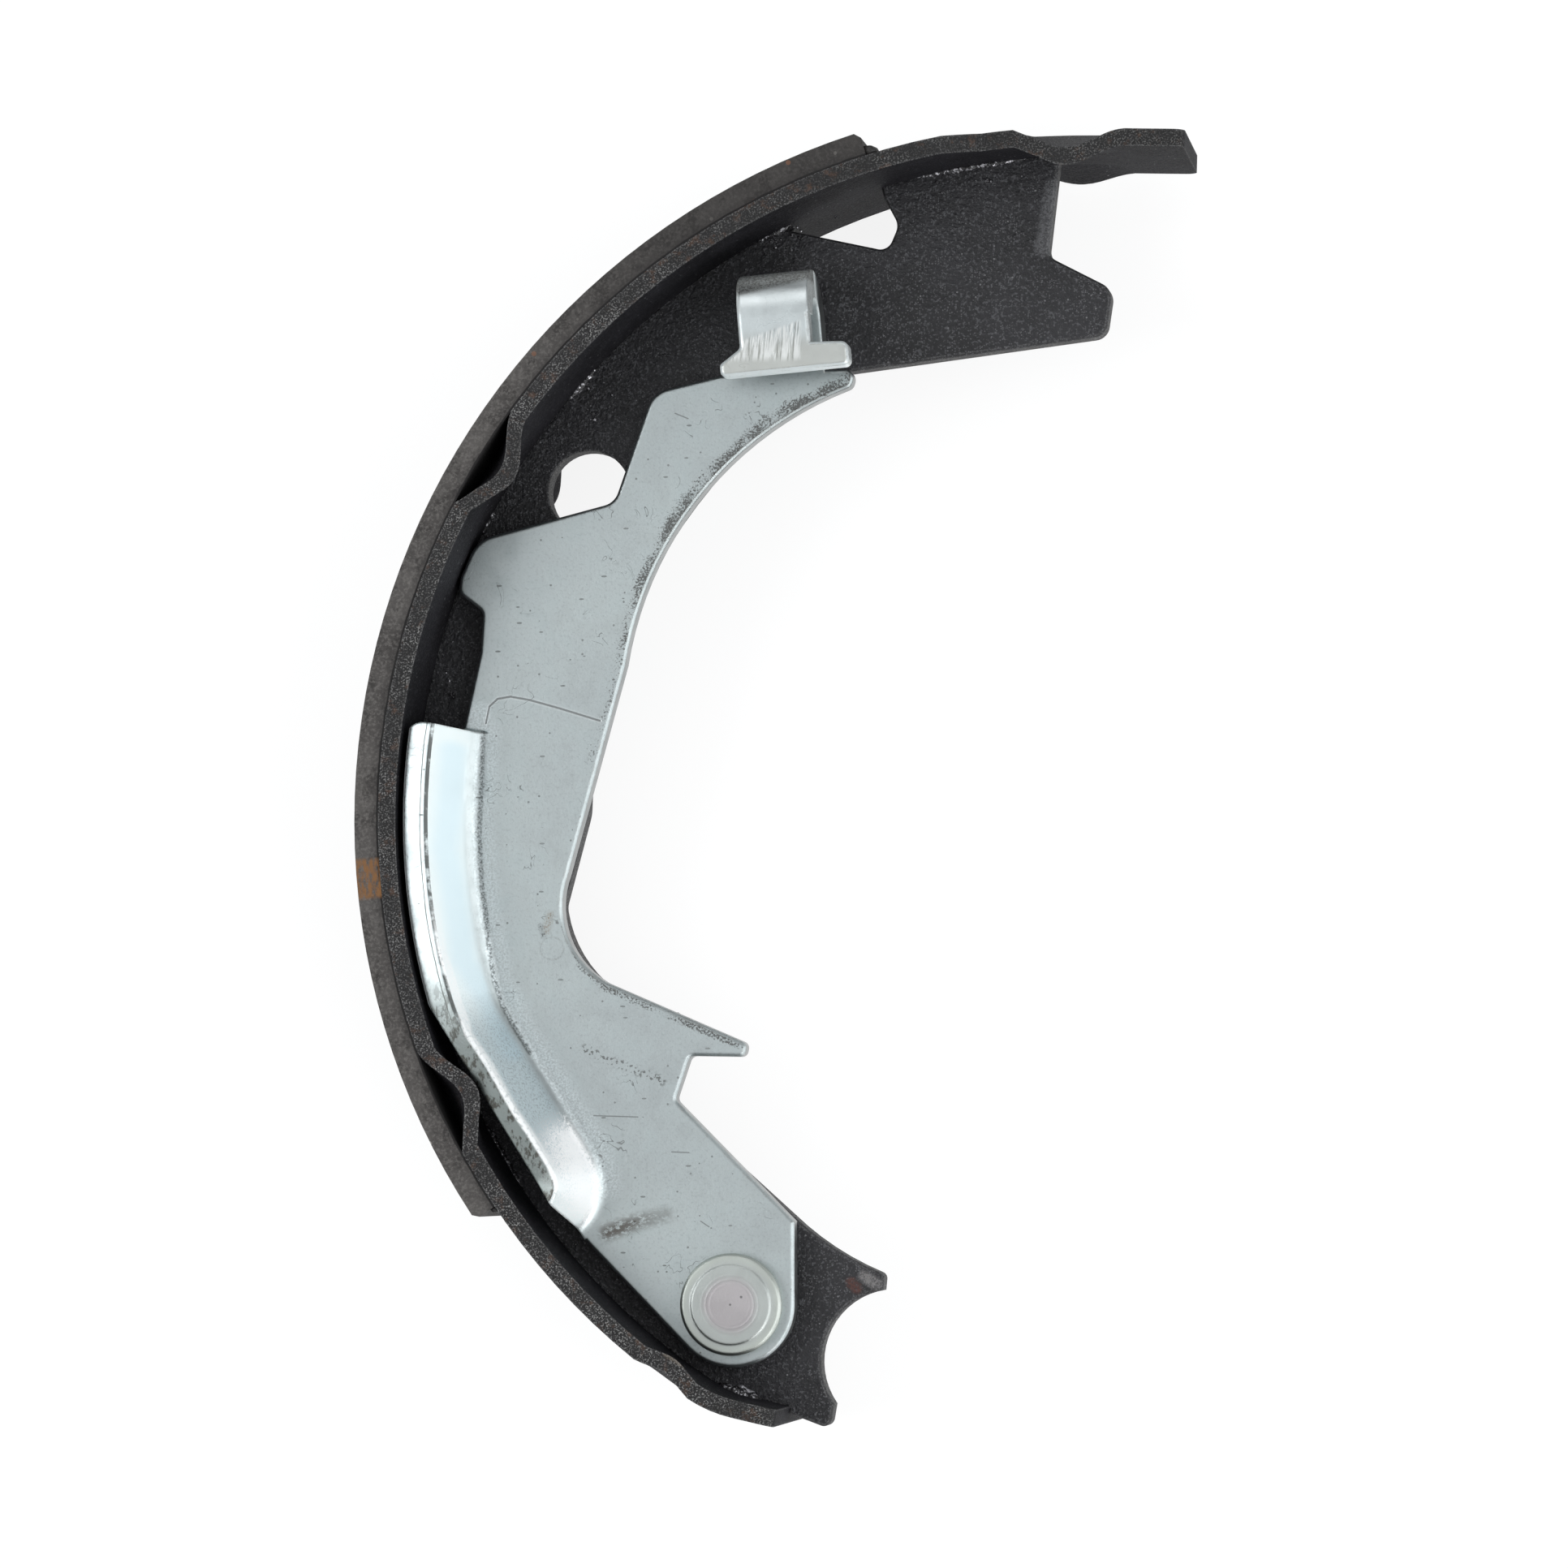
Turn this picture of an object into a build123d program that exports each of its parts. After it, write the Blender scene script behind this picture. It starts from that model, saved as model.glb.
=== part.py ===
from build123d import *
import math
import os

# Brake shoe with a pivoting parking lever, for a 203 mm rear drum.
# Millimetres and degrees. The origin is on the drum's axis, in the middle of the shoe's width.
# +Z points along the drum's axis, towards the side that carries the lever.
# Angles run anticlockwise from +X about the drum's axis, seen from +Z.
# Most places are given as an angle and an inset, the distance inwards from the table's inner face.

# Lining: the bonded friction segment, as wide as the table
drum_radius = 101.5
shoe_width = 38.0
lining_thickness = 3.4
lining_top_angle = 106.6
lining_low_angle = 214.2
lining_end_chamfer = 0.8

# Table: the curved rim plate
table_thickness = 2.5
tongue_width = 29.6
tongue_bend_angle = 86.0
tongue_bend_radius = 30.0
tongue_turn = 2.4
tongue_tip_length = 8.9
shoulder_wide_angle = 100.2
shoulder_narrow_angle = 97.0
tongue_corner_radius = 1.8
lip_angle = 237.0
lip_bend_radius = 18.0
lip_turn = 20.0
lip_length = 6.0
lip_corner_radius = 1.6

# Nibs: waves pressed inwards along both edges of the table, as angle and depth
edge_nibs = [(148.3, 3.4), (204.6, 3.6)]
nib_half_span = 5.3
nib_reach = 9.0
tongue_nib_angle = 90.0
tongue_nib_depth = 2.9
tongue_nib_back_depth = 1.8
low_nib_angle = 234.2
low_nib_depth = 1.1
low_nib_half_span = 3.4
low_nib_reach = 7.0
nib_blend = 0.1

# Pockets: where tabs of the web are pressed up in slots of the table
pocket_angles = [89.0, 221.7]
pocket_length = 7.6
pocket_breadth = 4.4
pocket_depth = 0.9

# Web: the flat plate along the middle of the table
web_thickness = 4.5
web_edge_break = 0.35
hold_down_radius = 6.0
hold_down_angle = 145.66
hold_down_inset = 10.6
anchor_notch_radius = 10.4
anchor_notch_angle = 251.4
anchor_notch_inset = 13.85

# Parking lever: one pressed plate
lever_thickness = 4.0
lever_gap = 0.3
lever_edge_break = 0.4
lever_end_radius = 9.0
lever_table_gap = 0.4
flange_table_gap = 0.65
flange_lean = 72.0
flange_bend_radius = 2.5
flange_height = 11.0
flange_top_angle = 171.4
flange_corner_radius = 3.0
flange_neck_inset = 6.0
flange_blend_radius = 10.0

# The flange's lower part runs straight, square to a line at this angle from the drum's axis
straight_angle = 212.0
straight_inset = 2.78
straight_end = 3.65
straight_trim = 0.95
spoon_core = 0.6

# Cable hook: the top of the lever, curled over towards +Z, with a T-shaped foot
hook_angle = 122.5
hook_inset = 19.0
hook_tilt = 5.0
hook_width = 10.2
hook_flare = 0.9
hook_gap = 5.6
hook_rise = 7.1
foot_width = 18.6
foot_shift = 1.1
foot_height = 4.0

# Pivot: headed pin, curved spring washer and open clip
pivot_angle = 234.8
pivot_inset = 10.95
pin_radius = 4.0
pin_running_clearance = 0.05
pin_head_radius = 7.3
pin_head_height = 1.8
pin_crown_radius = 5.8
pin_crown_height = 0.2
pin_tail = 1.1
pin_groove_depth = 0.8
washer_radius = 7.4
washer_bore_clearance = 0.25
washer_thickness = 0.5
washer_bow = 0.5
washer_web_gap = 0.1
clip_radius = 6.9
clip_thickness = 1.0
clip_mouth = 5.6

# Sizes that follow from those above
table_outer = drum_radius - lining_thickness
table_inner = table_outer - table_thickness
table_middle = (table_outer + table_inner) / 2
web_face = web_thickness / 2
lever_back = web_face + lever_gap
lever_front = lever_back + lever_thickness
washer_top = -web_face - washer_web_gap
clip_top = washer_top - washer_thickness - washer_bow
clip_bottom = clip_top - clip_thickness
pin_end = clip_bottom - pin_tail
FAR = 3 * drum_radius


def polar(angle, radius, centre=(0.0, 0.0)):
    """A point at an angle and a radius about a centre."""
    turn = math.radians(angle)
    return (centre[0] + radius * math.cos(turn), centre[1] + radius * math.sin(turn))


def at(angle, inset):
    """A point at an angle about the drum's axis, an inset within the table's inner face."""
    return polar(angle, table_inner - inset)


def arc_edge(centre, radius, start, end):
    """An arc about a centre, from one angle to another."""
    middle = (start + end) / 2
    return ThreePointArc(
        polar(start, radius, centre), polar(middle, radius, centre), polar(end, radius, centre)
    )


def ring_sector(centre, inner, outer, start, end):
    """A flat piece of a ring, between two radii and two angles."""
    edges = [
        arc_edge(centre, outer, start, end),
        Line(polar(end, outer, centre), polar(end, inner, centre)),
        arc_edge(centre, inner, end, start),
        Line(polar(start, inner, centre), polar(start, outer, centre)),
    ]
    return make_face(edges)


def rounded(face, corners):
    """The face with the corners nearest the given points rounded."""
    for point, radius in corners:
        corner = face.vertices().sort_by_distance(Vector(*point))[0]
        face = fillet(corner, radius)
    return face


def slab(face, low, high):
    """The face extruded between two heights."""
    return extrude(Pos(0, 0, low) * face, amount=high - low, dir=(0, 0, 1))


def eased(plate, low, high, depth, joined):
    """The plate with the edges of its two flat faces broken, but not where it is joined."""
    chosen = []
    for edge in plate.edges():
        points = [edge @ 0, edge @ 0.5, edge @ 1]
        level = any(all(abs(p.Z - height) < 0.01 for p in points) for height in (low, high))
        if level and not all(joined(p) for p in points):
            chosen.append(edge)
    return chamfer(chosen, depth)


pivot = at(pivot_angle, pivot_inset)


# The table

lip_centre = polar(lip_angle, table_middle - lip_bend_radius)
lip_end_angle = lip_angle + lip_turn


tongue_centre = polar(tongue_bend_angle, table_middle + tongue_bend_radius)
tongue_end_angle = tongue_bend_angle + 180 + tongue_turn
tongue_start = polar(tongue_end_angle, tongue_bend_radius, tongue_centre)
tongue_tip = polar(tongue_end_angle + 90, tongue_tip_length, tongue_start)


def table_profile():
    """The table seen along the drum's axis: an arc with a lip bent inwards and a straight tongue."""
    half = table_thickness / 2
    arc = ring_sector((0, 0), table_inner, table_outer, tongue_bend_angle, lip_angle)
    bend = ring_sector(
        lip_centre, lip_bend_radius - half, lip_bend_radius + half, lip_angle, lip_end_angle
    )
    start = polar(lip_end_angle, lip_bend_radius, lip_centre)
    lip = Pos(*start) * Rot(0, 0, lip_end_angle + 90) * Rectangle(
        lip_length, table_thickness, align=(Align.MIN, Align.CENTER)
    )
    tongue_bend = ring_sector(
        tongue_centre,
        tongue_bend_radius - half,
        tongue_bend_radius + half,
        tongue_bend_angle + 180,
        tongue_end_angle,
    )
    tongue = Pos(*tongue_start) * Rot(0, 0, tongue_end_angle + 90) * Rectangle(
        tongue_tip_length, table_thickness, align=(Align.MIN, Align.CENTER)
    )
    return arc + bend + lip + tongue_bend + tongue


def wave_face(angle, half_span, depth, height, radius, behind):
    """A flat section between a wave that dips inwards from a radius and a plain arc behind it."""
    points = []
    steps = 8
    for step in range(steps + 1):
        share = 2 * step / steps - 1
        dip = depth * math.cos(math.pi / 2 * share) ** 2
        points.append(polar(angle + share * half_span, radius - dip))
    ends = [polar(angle - half_span + 90, 1), polar(angle + half_span + 90, 1)]
    wave = Spline(*points, tangents=ends)
    back = arc_edge((0, 0), behind, angle - half_span, angle + half_span)
    edges = [wave, Line(wave @ 1, back @ 1), back, Line(back @ 0, wave @ 0)]
    return Pos(0, 0, height) * make_face(edges)


def press_nib(table, angle, half_span, depths, edge, reach):
    """The table with one nib pressed in on its front and back edges, fading over its reach."""

    def wedge(depth, radius, behind):
        start = wave_face(angle, half_span, 0.0, edge - reach, radius, behind)
        end = wave_face(angle, half_span, depth + nib_blend, edge, radius, behind)
        return loft([start, end], ruled=True)

    def bump(depth):
        return wedge(depth, table_inner + nib_blend, table_middle)

    def dent(depth):
        return wedge(depth, table_outer + nib_blend, table_outer + 1)

    front, back = depths
    table = table + bump(front) - dent(front)
    return table + mirror(bump(back), Plane.XY) - mirror(dent(back), Plane.XY)


def make_table():
    half_width = shoe_width / 2
    half_tongue = tongue_width / 2
    table = slab(table_profile(), -half_width, half_width)

    wide_x = table_outer * math.cos(math.radians(shoulder_wide_angle))
    narrow_x = table_outer * math.cos(math.radians(shoulder_narrow_angle))
    for side in (1, -1):
        outline = Polyline(
            (wide_x, side * half_width),
            (narrow_x, side * half_tongue),
            (table_outer, side * half_tongue),
            (table_outer, side * half_width),
            close=True,
        )
        waste = Plane.XZ * make_face(outline)
        table = table - extrude(waste, amount=-FAR)

    for angle, depth in edge_nibs:
        table = press_nib(table, angle, nib_half_span, (depth, depth), half_width, nib_reach)
    tongue_depths = (tongue_nib_depth, tongue_nib_back_depth)
    table = press_nib(table, tongue_nib_angle, nib_half_span, tongue_depths, half_tongue, nib_reach)
    low_depths = (low_nib_depth, low_nib_depth)
    table = press_nib(table, low_nib_angle, low_nib_half_span, low_depths, half_width, low_nib_reach)

    for angle in pocket_angles:
        floor = Plane(
            origin=(*polar(angle, table_outer - pocket_depth), 0),
            x_dir=(0, 0, 1),
            z_dir=(*polar(angle, 1), 0),
        )
        pocket = SlotOverall(pocket_length, pocket_breadth)
        table = table - extrude(floor * pocket, amount=2 * pocket_depth)

    lip_end = polar(lip_end_angle, lip_bend_radius, lip_centre)
    lip_end = (
        lip_end[0] - lip_length * math.sin(math.radians(lip_end_angle)),
        lip_end[1] + lip_length * math.cos(math.radians(lip_end_angle)),
    )
    for end, half, radius in (
        (tongue_tip, half_tongue, tongue_corner_radius),
        (lip_end, half_width, lip_corner_radius),
    ):
        for side in (1, -1):
            corner = Vector(*end, side * half)
            edge = table.edges().sort_by(lambda e: (e.center() - corner).length)[0]
            table = fillet(edge, radius)
    return table


# The lining


def make_lining():
    sector = ring_sector((0, 0), table_outer, drum_radius, lining_top_angle, lining_low_angle)
    lining = slab(sector, -shoe_width / 2, shoe_width / 2)
    for angle in (lining_top_angle, lining_low_angle):
        corner = Vector(*polar(angle, drum_radius), 0)
        edge = lining.edges().sort_by(lambda e: (e.center() - corner).length)[0]
        lining = chamfer(edge, lining_end_chamfer)
    return lining


# The web


def make_web():
    """The web's plate, cut to the inside of the table, with its window, notch and holes."""
    sink = -table_thickness / 2
    top = at(91.0, sink)
    throat = at(92.5, 14.3)
    horn_upper = at(85.7, 19.0)
    horn_lower = at(86.1, 25.8)
    shoulder = at(117.7, 22.5)
    waist = at(147.7, 24.2)
    flank = at(178.8, 25.3)
    cove_start = at(189.2, 20.8)
    cove = at(195.6, 22.0)
    cove_end = at(205.3, 31.8)
    strut_point = at(209.05, 33.8)
    strut_floor = at(214.5, 24.6)
    low_neck = at(236.15, 25.8)
    low_hollow = at(241.15, 25.3)
    low_tip = at(247.2, 25.2)
    low_tip_inner = at(247.75, 22.95)
    foot_tip = at(247.16, 7.5)
    foot_toe = at(248.0, 1.7)
    foot_heel = at(243.0, 1.15)
    lip_middle = polar(lip_end_angle, lip_bend_radius, lip_centre)

    edges = [
        Polyline(top, throat, horn_upper, horn_lower, shoulder),
        ThreePointArc(shoulder, waist, flank),
        Line(flank, cove_start),
        ThreePointArc(cove_start, cove, cove_end),
        Polyline(cove_end, strut_point, strut_floor, low_neck),
        ThreePointArc(low_neck, low_hollow, low_tip),
        Polyline(low_tip, low_tip_inner, foot_tip, foot_toe, foot_heel, lip_middle, at(lip_angle, sink)),
        arc_edge((0, 0), table_inner - sink, lip_angle, 91.0),
    ]
    face = make_face(edges)
    face = rounded(
        face,
        [
            (throat, 1.8),
            (horn_upper, 2.4),
            (horn_lower, 2.2),
            (shoulder, 5.0),
            (flank, 8.0),
            (cove_start, 3.0),
            (strut_point, 1.0),
            (strut_floor, 2.0),
            (low_tip, 1.0),
            (foot_toe, 1.2),
        ],
    )

    notch = polar(anchor_notch_angle, table_inner - anchor_notch_inset)
    face = face - Pos(*notch) * Circle(anchor_notch_radius)

    window_outline = Polyline(
        at(106.5, -4.0),
        at(106.9, 1.2),
        at(106.3, 5.9),
        at(108.0, 9.0),
        at(116.2, 0.0),
        at(118.0, -4.0),
        close=True,
    )
    window = rounded(
        make_face(window_outline), [(at(106.3, 5.9), 2.2), (at(108.0, 9.0), 1.8), (at(106.9, 1.2), 6.0)]
    )
    rim = table_profile()
    web = slab(face - window - rim, -web_face, web_face)

    def joined(point):
        return rim.distance_to(Vector(point.X, point.Y, 0)) < 0.05

    web = eased(web, -web_face, web_face, web_edge_break, joined)

    hole = Pos(*at(hold_down_angle, hold_down_inset)) * Circle(hold_down_radius)
    bore = Pos(*pivot) * Circle(pin_radius + pin_running_clearance)
    return web - slab(hole, -web_face, web_face) - slab(bore, -web_face, web_face)


# The parking lever

lean = math.radians(flange_lean)
flange_reach = (flange_bend_radius + lever_thickness) * math.sin(lean) + flange_height * math.cos(lean)
flange_rim = table_inner - flange_table_gap
bend_radius = flange_rim - flange_reach
straight_reach = bend_radius - straight_inset
blend_turn = math.degrees(
    math.acos((straight_reach - flange_blend_radius) / (bend_radius - flange_blend_radius))
)
blend_angle = straight_angle - blend_turn
blend_centre = polar(blend_angle, bend_radius - flange_blend_radius)


def beside(reach, run):
    """A point at a reach along the straight part's normal and a run down along it."""
    start = polar(straight_angle, reach)
    return polar(straight_angle + 90, run, start)


straight_start = (flange_blend_radius - bend_radius) * math.sin(math.radians(blend_turn))
spoon_radius = flange_reach + spoon_core
spoon_centre = beside(straight_reach + spoon_radius, straight_end)
trim_reach = straight_reach + flange_reach - straight_trim


def lever_outline():
    """The lever's edge seen from +Z, with the flange's outer edge where it is bent up."""
    corner = at(115.4, 23.7)
    inner_start = at(116.9, 25.7)
    inner_middle = at(136.0, 24.4)
    inner_end = at(160.6, 27.4)
    cove_start = at(185.9, 22.6)
    cove_middle = at(193.9, 21.4)
    cove_end = at(199.1, 24.8)
    beak_upper = at(214.4, 39.1)
    beak_lower = at(215.7, 37.7)
    notch_upper = at(211.5, 31.2)
    notch_lower = at(215.0, 26.0)
    heel = at(235.2, 25.8)
    end_right = polar(0, lever_end_radius, pivot)
    end_low = polar(-67.5, lever_end_radius, pivot)
    end_left = polar(224.8, lever_end_radius, pivot)
    low_outer = beside(trim_reach, 14.0)
    flange_edge = flange_rim + 0.5
    edge_angle = straight_angle - math.degrees(math.acos(trim_reach / flange_edge))
    flange_corner = polar(flange_top_angle, flange_edge)
    neck_low = polar(flange_top_angle, flange_rim - flange_neck_inset)
    neck = at(164.0, 6.7)
    ear_root = at(160.3, 5.2)
    ear_low = at(159.5, 1.0)
    ear_tip = at(158.2, lever_table_gap)
    ear_top = at(154.6, lever_table_gap)
    hollow = at(145.1, 15.2)
    brow = at(134.3, 9.15)
    brow_end = at(128.3, 13.9)

    edges = [
        Line(corner, inner_start),
        ThreePointArc(inner_start, inner_middle, inner_end),
        Line(inner_end, cove_start),
        ThreePointArc(cove_start, cove_middle, cove_end),
        Polyline(cove_end, beak_upper, beak_lower, notch_upper, notch_lower, heel, end_right),
        ThreePointArc(end_right, end_low, end_left),
        Polyline(end_left, low_outer, polar(edge_angle, flange_edge)),
        arc_edge((0, 0), flange_edge, edge_angle, flange_top_angle),
        Polyline(
            flange_corner,
            neck_low,
            neck,
            ear_root,
            ear_low,
            ear_tip,
            ear_top,
            hollow,
            brow,
            brow_end,
            corner,
        ),
    ]
    return rounded(
        make_face(edges),
        [
            (corner, 1.3),
            (inner_start, 1.2),
            (cove_end, 4.0),
            (beak_upper, 1.0),
            (beak_lower, 0.9),
            (notch_upper, 1.0),
            (notch_lower, 1.0),
            (low_outer, 6.0),
            (flange_corner, flange_corner_radius),
            (ear_root, 1.4),
            (ear_low, 1.6),
            (ear_tip, 2.0),
            (ear_top, 5.0),
            (hollow, 2.8),
            (brow, 4.0),
        ],
    )


def flange_section(from_axis, towards):
    """The flange's section beside an axis: its bend starts at from_axis and leans along towards."""
    start = (from_axis, lever_back)

    def spot(run, height):
        return (from_axis + towards * run, lever_back + height)

    outer_bend = flange_bend_radius + lever_thickness

    def bend_point(radius, turn):
        return spot(radius * math.sin(turn), outer_bend - radius * math.cos(turn))

    low_end = bend_point(outer_bend, lean)
    high_end = bend_point(flange_bend_radius, lean)
    along = (towards * flange_height * math.cos(lean), flange_height * math.sin(lean))
    low_tip = (low_end[0] + along[0], low_end[1] + along[1])
    high_tip = (high_end[0] + along[0], high_end[1] + along[1])
    edges = [
        ThreePointArc(start, bend_point(outer_bend, lean / 2), low_end),
        Polyline(low_end, low_tip, high_tip, high_end),
        ThreePointArc(high_end, bend_point(flange_bend_radius, lean / 2), spot(0, lever_thickness)),
        Line(spot(0, lever_thickness), start),
    ]
    section = make_face(edges)
    for tip in (low_tip, high_tip):
        corner = section.vertices().sort_by_distance(Vector(*tip))[0]
        section = chamfer(corner, lever_edge_break)
    return section


def turned(section, centre, start, sweep):
    """A section revolved about an upright axis through a centre, from one angle on."""
    stood = Plane.XZ * section
    body = revolve(stood, Axis.Z, revolution_arc=sweep)
    return Pos(*centre) * Rot(0, 0, start) * body


def make_hook():
    """The curled top of the lever: back leaf, bend, front leaf and T-shaped foot."""
    half = hook_width / 2
    front_low = lever_front + hook_gap
    front_high = front_low + lever_thickness
    bend_axis = Axis((0, hook_rise, lever_front + hook_gap / 2), (1, 0, 0))

    def at_bend(point):
        return point.Y > hook_rise - 0.01

    def at_root(point):
        return point.Y > hook_rise - 0.01 or point.Y < 0.01 - foot_height

    wide = hook_width + hook_flare
    corner = (Align.MIN, Align.MIN)
    strip = Pos(-half, -foot_height) * Rectangle(wide, hook_rise + foot_height, align=corner)
    back = slab(strip, lever_back, lever_front)
    back = eased(back, lever_back, lever_front, lever_edge_break, at_root)

    section = Pos(hook_flare / 2, 0) * Rectangle(wide, lever_thickness)
    section = chamfer(section.vertices(), lever_edge_break)
    middle = (lever_back + lever_front) / 2
    cut = Plane(origin=(0, hook_rise, middle), x_dir=(1, 0, 0), z_dir=(0, 1, 0))
    bend = revolve(cut * section, bend_axis, revolution_arc=180)

    beyond = Polyline(
        (half + hook_flare, lever_back),
        (half + wide, lever_back),
        (half + wide, front_high),
        (half, front_high),
        close=True,
    )
    flared = back + bend - extrude(Plane.XZ * make_face(beyond), amount=FAR, both=True)

    left = foot_shift - foot_width / 2
    right = foot_shift + foot_width / 2
    outline = Polyline(
        (-half, hook_rise),
        (-half, foot_height * 0.7),
        (left, foot_height * 0.2),
        (left, -foot_height * 0.25),
        (right, -foot_height * 0.25),
        (right, foot_height * 0.6),
        (half, foot_height * 0.7),
        (half, hook_rise),
        close=True,
    )
    face = rounded(
        make_face(outline),
        [
            ((-half, foot_height * 0.7), 1.0),
            ((left, foot_height * 0.2), 0.8),
            ((left, -foot_height * 0.25), 0.8),
            ((right, -foot_height * 0.25), 0.9),
            ((right, foot_height * 0.6), 1.1),
        ],
    )
    front = eased(slab(face, front_low, front_high), front_low, front_high, lever_edge_break, at_bend)
    return Pos(*at(hook_angle, hook_inset)) * Rot(0, 0, hook_tilt) * (flared + front)


def make_flange():
    """The bent-up rim: round the drum's axis, round a blend, straight, and closed by a spoon."""
    bow = turned(flange_section(bend_radius, 1), (0, 0), flange_top_angle, blend_angle - flange_top_angle)
    blend = turned(flange_section(flange_blend_radius, 1), blend_centre, blend_angle, blend_turn)
    run = straight_end - straight_start
    stood = Plane.XZ * flange_section(straight_reach, 1)
    straight = Rot(0, 0, straight_angle) * Pos(0, straight_start, 0) * extrude(stood, amount=-run)
    spoon_sweep = 100.0
    spoon = turned(
        flange_section(spoon_radius, -1),
        spoon_centre,
        straight_angle - 180 - spoon_sweep,
        spoon_sweep,
    )
    return bow + blend + straight + spoon


def make_lever():
    blank = lever_outline()
    outside = Polyline(
        beside(straight_reach, straight_start),
        beside(straight_reach, straight_end),
        beside(FAR, straight_end),
        beside(FAR, straight_start),
        close=True,
    )
    bend_zone = (
        ring_sector((0, 0), bend_radius, FAR, flange_top_angle, blend_angle)
        + ring_sector(blend_centre, flange_blend_radius, FAR, blend_angle, straight_angle)
        + make_face(outside)
        + Pos(*spoon_centre) * Circle(spoon_radius)
    )
    plate = slab(blank - bend_zone, lever_back, lever_front)

    outward = polar(straight_angle, 1)

    def joined(point):
        place = (point.X, point.Y)
        gaps = [
            math.dist(place, (0, 0)) - bend_radius,
            math.dist(place, blend_centre) - flange_blend_radius,
            math.dist(place, spoon_centre) - spoon_radius,
            place[0] * outward[0] + place[1] * outward[1] - straight_reach,
        ]
        return min(abs(gap) for gap in gaps) < 0.01

    plate = eased(plate, lever_back, lever_front, lever_edge_break, joined)
    trim = slab(blank, lever_back - 1, FAR)
    lever = plate + (make_flange() & trim) + make_hook()
    return lever - Pos(*pivot) * slab(Circle(pin_radius), lever_back - 1, lever_front + 1)


# The pivot's small parts


def make_pin():
    """Headed pin: head on the lever, shank through lever and web, groove for the clip."""
    groove = pin_radius - pin_groove_depth
    head_top = lever_front + pin_head_height
    rim = 0.4
    outline = Polyline(
        (0, pin_end),
        (pin_radius - rim, pin_end),
        (pin_radius, pin_end + rim),
        (pin_radius, clip_bottom),
        (groove, clip_bottom),
        (groove, clip_top),
        (pin_radius, clip_top),
        (pin_radius, lever_front),
        (pin_head_radius, lever_front),
        (pin_head_radius, head_top - rim),
        (pin_head_radius - rim, head_top),
        (pin_crown_radius, head_top),
        (pin_crown_radius - pin_crown_height, head_top + pin_crown_height),
        (0, head_top + pin_crown_height),
        close=True,
    )
    return Pos(*pivot) * revolve(Plane.XZ * make_face(outline), Axis.Z)


def make_washer():
    """Washer curved about one axis, so that it springs between the web and the clip."""
    bow_radius = (washer_radius**2 + washer_bow**2) / (2 * washer_bow)
    half_turn = math.degrees(math.asin(min(1.0, 1.2 * washer_radius / bow_radius)))
    centre = (0, washer_top - bow_radius)
    strip = ring_sector(
        centre, bow_radius - washer_thickness, bow_radius, 90 - half_turn, 90 + half_turn
    )
    sheet = extrude(Plane.XZ * strip, amount=washer_radius * 2, both=True)
    ring = Circle(washer_radius) - Circle(pin_radius + washer_bore_clearance)
    washer = sheet & slab(ring, clip_top, washer_top + 1)
    return Pos(*pivot) * Rot(0, 0, pivot_angle - 180) * washer


def make_clip():
    """Open clip that sits in the pin's groove, its mouth towards the table."""
    groove = pin_radius - pin_groove_depth
    mouth = Rectangle(clip_radius * 2, clip_mouth, align=(Align.MIN, Align.CENTER))
    face = Circle(clip_radius) - Circle(groove) - mouth
    return Pos(*pivot) * Rot(0, 0, pivot_angle) * slab(face, clip_bottom, clip_top)


nodes = {
    "lining": make_lining(),
    "table": make_table(),
    "web": make_web(),
    "parking_lever": make_lever(),
    "pivot_pin": make_pin(),
    "spring_washer": make_washer(),
    "retaining_clip": make_clip(),
}

os.makedirs("parts", exist_ok=True)
for name, shape in nodes.items():
    export_step(shape, f"parts/{name}.step")
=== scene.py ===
import math
import random

import bmesh
import bpy
from mathutils import Matrix, Vector


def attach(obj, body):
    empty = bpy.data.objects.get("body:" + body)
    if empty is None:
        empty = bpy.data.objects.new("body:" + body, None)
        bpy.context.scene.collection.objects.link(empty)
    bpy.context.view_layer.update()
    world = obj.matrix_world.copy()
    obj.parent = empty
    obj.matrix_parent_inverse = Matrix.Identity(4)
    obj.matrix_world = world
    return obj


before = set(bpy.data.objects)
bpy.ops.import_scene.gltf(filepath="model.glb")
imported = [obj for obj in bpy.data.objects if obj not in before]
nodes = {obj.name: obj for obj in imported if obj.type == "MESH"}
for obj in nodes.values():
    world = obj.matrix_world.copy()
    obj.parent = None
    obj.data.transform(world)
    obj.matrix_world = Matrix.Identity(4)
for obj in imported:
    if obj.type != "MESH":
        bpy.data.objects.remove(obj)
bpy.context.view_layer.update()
scene = bpy.context.scene

# Radii about the drum's axis and heights, in metres, as the CAD model has them
TABLE_INNER = 0.0956
TABLE_OUTER = 0.0981
LINING_OUTER = 0.1015
HALF_WIDTH = 0.019
WEB_FACE = 0.00225
LEVER_FRONT = 0.00655
RIM_LINE = 0.0923
PIVOT = (-0.048796, -0.069171)

# The turn in radians, from -X towards +Y, of the ochre mark on the lining
OCHRE_MARK = -0.0855

# How deep the added pieces sink into the plates they stand on
SINK = 0.0001

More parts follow.
